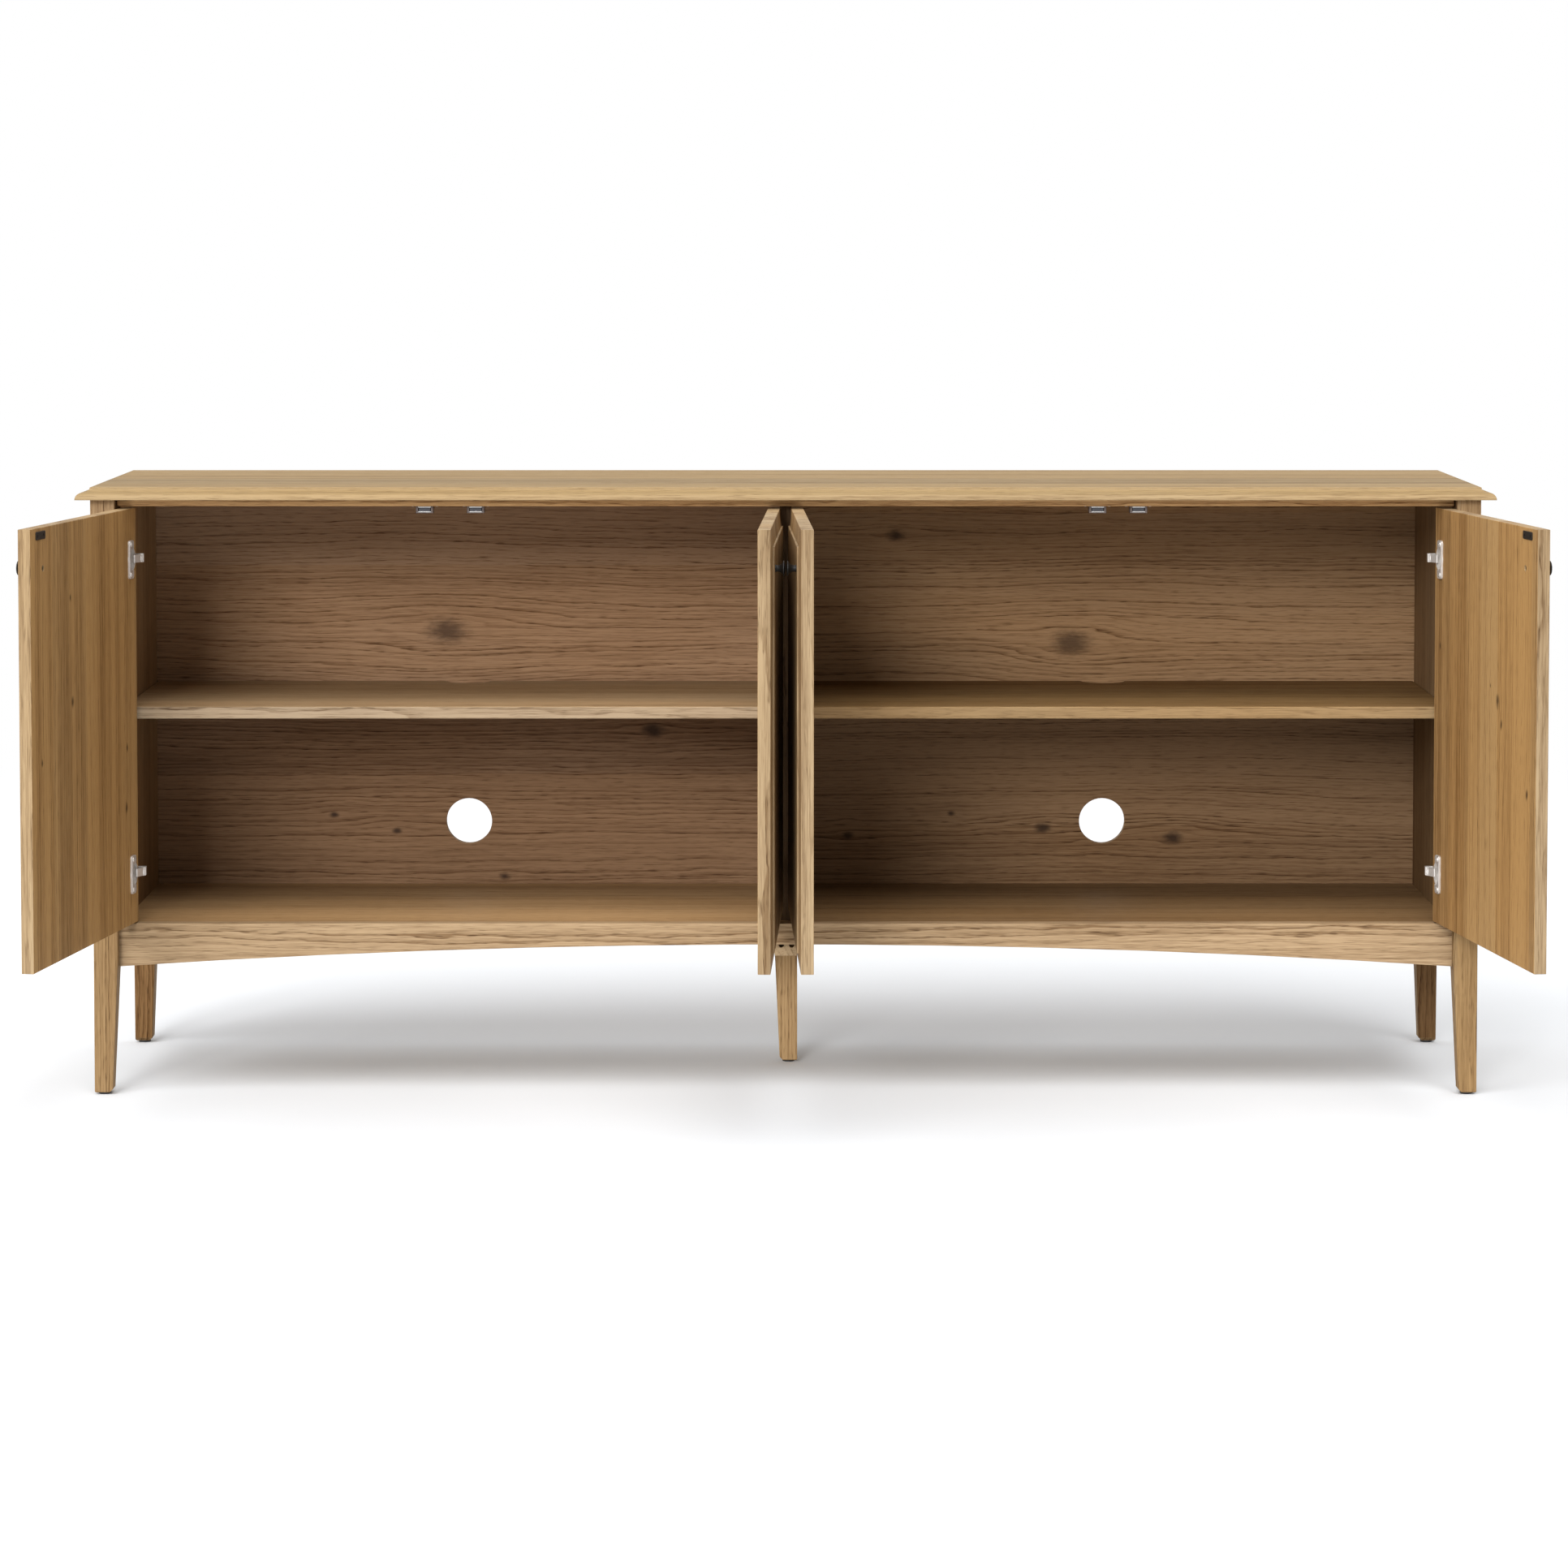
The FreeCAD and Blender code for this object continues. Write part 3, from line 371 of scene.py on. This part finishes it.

# Below the shelf the back and side panels take painted shade. The front legs take painted light on their tops,
# and the rear legs take painted shade on their front faces.
for hand, seed in (("left", 15.4), ("right", 21.9)):
    back = "back_panel_" + hand
    knots = [
        (*part_of(back, along_share, across_share, X_AXIS, Z_AXIS), size)
        for along_share, across_share, size in BACK_KNOTS[hand]
    ]
    back_board = oak("oak_" + back, X_AXIS, Z_AXIS, seed, (0.86, 0.78, 0.71), stave=0.165, figure=1.2,
                     knots=knots, face_tints=[(-Y_AXIS, BACK_FACE[hand])], fade=BACK_SHADE_BELOW_SHELF)
    wear_finish(back, back_board)
    shelf_board = oak("oak_shelf_" + hand, X_AXIS, Y_AXIS, seed + 1.7, SHELF_EDGE[hand], stave=0.13,
                      face_tints=[(Z_AXIS, SHELF_FACE[hand])])
    wear_finish("shelf_" + hand, shelf_board)
    inward = X_AXIS if hand == "left" else -X_AXIS
    side_board = oak("oak_side_panel_" + hand, Z_AXIS, Y_AXIS, seed + 2.9, (0.88, 0.82, 0.72), stave=0.13,
                     face_tints=[(inward, SIDE_FACE[hand])], fade=SIDE_SHADE_BELOW_SHELF)
    wear_finish("side_panel_" + hand, side_board)
    front_leg = oak("oak_leg_front_" + hand, Z_AXIS, X_AXIS, seed + 4.1, LEG_TINT[hand], stave=0.5,
                    figure=1.3, fade=LIGHT_ON_LEG_TOPS)
    wear_finish("leg_front_" + hand, front_leg)
    rear_leg = oak("oak_leg_rear_" + hand, Z_AXIS, X_AXIS, seed + 8.2, LEG_TINT[hand], stave=0.5,
                   figure=1.3, face_tints=[(-Y_AXIS, REAR_LEG_FRONT_SHADE[hand])])
    wear_finish("leg_rear_" + hand, rear_leg)
partition = oak("oak_centre_partition", Z_AXIS, Y_AXIS, 41.3, (0.8, 0.7, 0.6), stave=0.13,
                face_tints=[(-Y_AXIS, SHADE_ON_PARTITION_EDGE)])
wear_finish("centre_partition", partition)
centre_leg = oak("oak_centre_leg", Z_AXIS, X_AXIS, 43.8, (1.14, 1.04, 0.88), stave=0.5, figure=1.3)
wear_finish("centre_leg", centre_leg)
wear_finish("joint_dowels", oak("beech_dowels", Y_AXIS, X_AXIS, 47.0, (1.15, 1.0, 0.9), stave=0.5))

# ---------------------------------------------------------------- doors
# (share of the door's height, share of DOOR_REACH from its axis, half width in metres)
DOOR_KNOTS = {
    "left_outer": ((0.583, 0.626, 0.0055), (0.825, 0.641, 0.0035), (0.467, 0.917, 0.0035),
                   (0.429, 0.086, 0.0040), (0.286, 0.096, 0.0045)),
    "left_centre": ((0.700, 0.640, 0.0050), (0.310, 0.300, 0.0040)),
    "right_centre": ((0.380, 0.480, 0.0055), (0.820, 0.220, 0.0035)),
    "right_outer": ((0.586, 0.636, 0.0075), (0.534, 0.675, 0.0050), (0.616, 0.564, 0.0025),
                    (0.396, 0.926, 0.0050), (0.671, 0.040, 0.0035)),
}
DOOR_REACH = 0.48
DOOR_WOOD = (0.90, 0.86, 0.78)
DOOR_INSIDE = (1.05, 0.87, 0.61)
DOOR_OUTSIDE = (1.0, 0.90, 0.78)
# Screws nearer the axis than this are the hinges', and silver; the others are the knob's and strike plate's.
HINGE_SCREWS_WITHIN = 0.2
IRON_BLACK = (0.012, 0.011, 0.010)
hinges = {joint["child"]: joint for joint in frame["joints"]}
for number, (door, knots) in enumerate(DOOR_KNOTS.items()):
    joint = hinges["door_" + door]
    pin = Vector(joint["pos_m"])
    to_free_edge = X_AXIS * (1 if door in ("left_outer", "right_centre") else -1)
    opening = math.radians(-joint["range_deg"][0])
    swing = Matrix.Rotation(opening, 3, Vector(joint["axis"]))
    outward = swing @ to_free_edge
    inside = swing @ Y_AXIS
    low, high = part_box("door_panel_" + door)
    foot = Vector((pin.x, pin.y, low.z))
    knots = [(up * (high.z - low.z), out * DOOR_REACH, size) for up, out, size in knots]
    seed = 51.0 + 6.37 * number
    panel = oak("oak_door_" + door, Z_AXIS, outward, seed, DOOR_WOOD, stave=0.078, tone=0.32, bands=0.42,
                knots=knots, origin=foot, face_tints=[(inside, DOOR_INSIDE), (-inside, DOOR_OUTSIDE)])
    wear_finish("door_panel_" + door, panel)
    divide = pin.dot(outward) + HINGE_SCREWS_WITHIN
    screws = metal("door_screws_" + door, (0.80, 0.77, 0.74), 0.36, metallic=0.8,
                   fade=(outward, divide - 0.01, divide + 0.01, IRON_BLACK))
    wear_finish("door_fixings_" + door, screws)

# ---------------------------------------------------------------- hardware
steel = metal("nickel_plated_steel", (0.80, 0.77, 0.74), 0.38, metallic=0.72)
screw_steel = metal("zinc_plated_steel", (0.60, 0.59, 0.56), 0.34)
catch_steel = metal("polished_steel", (0.78, 0.77, 0.76), 0.22)
magnet = metal("ferrite", (0.10, 0.10, 0.11), 0.5)
iron = metal("blackened_metal", IRON_BLACK, 0.36, metallic=0.2, wear=(0.05, 0.042, 0.034), worn=0.5)
black_plastic = plastic("black_plastic", (0.012, 0.012, 0.013), 0.4)
catch_plastic = plastic("grey_plastic", (0.16, 0.13, 0.12), 0.35)

for node in frame["nodes"]:
    if node.startswith(("hinge_plate_screws", "top_screws", "back_panel_screws", "centre_beam_screws",
                        "catch_screws")):
        wear_finish(node, screw_steel)
    elif node.startswith(("hinge_", "shelf_pins")):
        wear_finish(node, steel)
    elif node.startswith(("knob_", "strike_plate_")):
        wear_finish(node, iron)
wear_finish("catch_pole_plates", catch_steel)
wear_finish("catch_magnets", magnet)
wear_finish("catch_housings", catch_plastic)
wear_finish("foot_glides", black_plastic)


# ---------------------------------------------------------------- studio
def studio_floor():
    """A pale floor that turns into an evenly glowing white away from the object."""
    reach = 30.0
    mesh = bpy.data.meshes.new("studio_floor")
    corners = [(-reach, -reach, 0.0), (reach, -reach, 0.0), (reach, reach, 0.0), (-reach, reach, 0.0)]
    mesh.from_pydata(corners, [], [(0, 1, 2, 3)])
    made = bpy.data.objects.new("studio_floor", mesh)
    bpy.context.scene.collection.objects.link(made)
    g = Graph("pale_floor")
    place = g.object_place()
    grain = g.noise(place, scale=6.0, detail=3.0)
    g.feed(g.shader.inputs["Base Color"], g.mix(grain, (0.68, 0.695, 0.715), (0.70, 0.715, 0.735)))
    g.shader.inputs["Roughness"].default_value = 0.9
    g.shader.inputs["Specular IOR Level"].default_value = 0.1
    glow = g.node("ShaderNodeEmission")
    away = g.node("ShaderNodeVectorMath", operation="LENGTH")
    g.feed(away.inputs[0], place)
    blend = g.node("ShaderNodeMixShader")
    g.feed(blend.inputs[0], g.ramp(away.outputs["Value"], 1.6, 4.5))
    g.feed(blend.inputs[1], g.shader.outputs[0])
    g.feed(blend.inputs[2], glow.outputs[0])
    g.feed(g.tree.nodes["Material Output"].inputs["Surface"], blend.outputs[0])
    mesh.materials.append(g.material)
    made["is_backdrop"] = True


def sun(name, azimuth, elevation, strength, spread):
    """A broad soft light from far away. Azimuth 0 comes from the front, and 90 from the right."""
    light = bpy.data.lights.new(name, "SUN")
    light.energy = strength
    light.angle = math.radians(spread)
    made = bpy.data.objects.new(name, light)
    turn, rise = math.radians(azimuth), math.radians(elevation)
    source = Vector((math.sin(turn) * math.cos(rise), -math.cos(turn) * math.cos(rise), math.sin(rise)))
    made.rotation_euler = source.to_track_quat("Z", "Y").to_euler()
    made.location = source * 6.0
    bpy.context.scene.collection.objects.link(made)


def surround(front, back):
    """White surroundings, of one strength in front of the object and another behind it."""
    world = bpy.data.worlds.new("studio")
    world.use_nodes = True
    nodes, links = world.node_tree.nodes, world.node_tree.links
    sky = nodes["Background"]
    sky.inputs["Color"].default_value = (1.0, 1.0, 1.0, 1.0)
    direction = nodes.new("ShaderNodeSeparateXYZ")
    links.new(nodes.new("ShaderNodeTexCoord").outputs["Generated"], direction.inputs[0])
    level = nodes.new("ShaderNodeMapRange")
    level.interpolation_type = "SMOOTHSTEP"
    for key, number in (("From Min", -0.5), ("From Max", 0.3), ("To Min", front), ("To Max", back)):
        level.inputs[key].default_value = number
    links.new(direction.outputs["Y"], level.inputs["Value"])
    links.new(level.outputs["Result"], sky.inputs["Strength"])
    bpy.context.scene.world = world


studio_floor()
surround(0.40, 1.0)
sun("low_key_light", -15.0, 18.0, 1.8, 18.0)
sun("side_light", -50.0, 36.0, 1.2, 40.0)
sun("top_light", 0.0, 60.0, 2.45, 44.0)

# ---------------------------------------------------------------- camera
# In metres, millimetres of lens and degrees. The photograph's upright lines are parallel, which would take a
# shift of about -0.37 and no pitch. The pitch keeps the shift smaller, so that other views stay framed.
DISTANCE = 6.8985
HEIGHT = 1.3133
SIDE = -0.0024
LENS = 107.21
SHIFT = -0.20
PITCH = 3.162

lens = bpy.data.cameras.new("camera")
lens.lens = LENS
lens.sensor_width = 36.0
lens.shift_y = SHIFT
lens.clip_start = 0.1
lens.clip_end = 100.0
camera = bpy.data.objects.new("camera", lens)
camera.location = (SIDE, -DISTANCE, HEIGHT)
camera.rotation_euler = (math.radians(90.0 - PITCH), 0.0, 0.0)
bpy.context.scene.collection.objects.link(camera)
bpy.context.scene.camera = camera
bpy.context.scene.view_settings.view_transform = "Standard"

low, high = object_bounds()
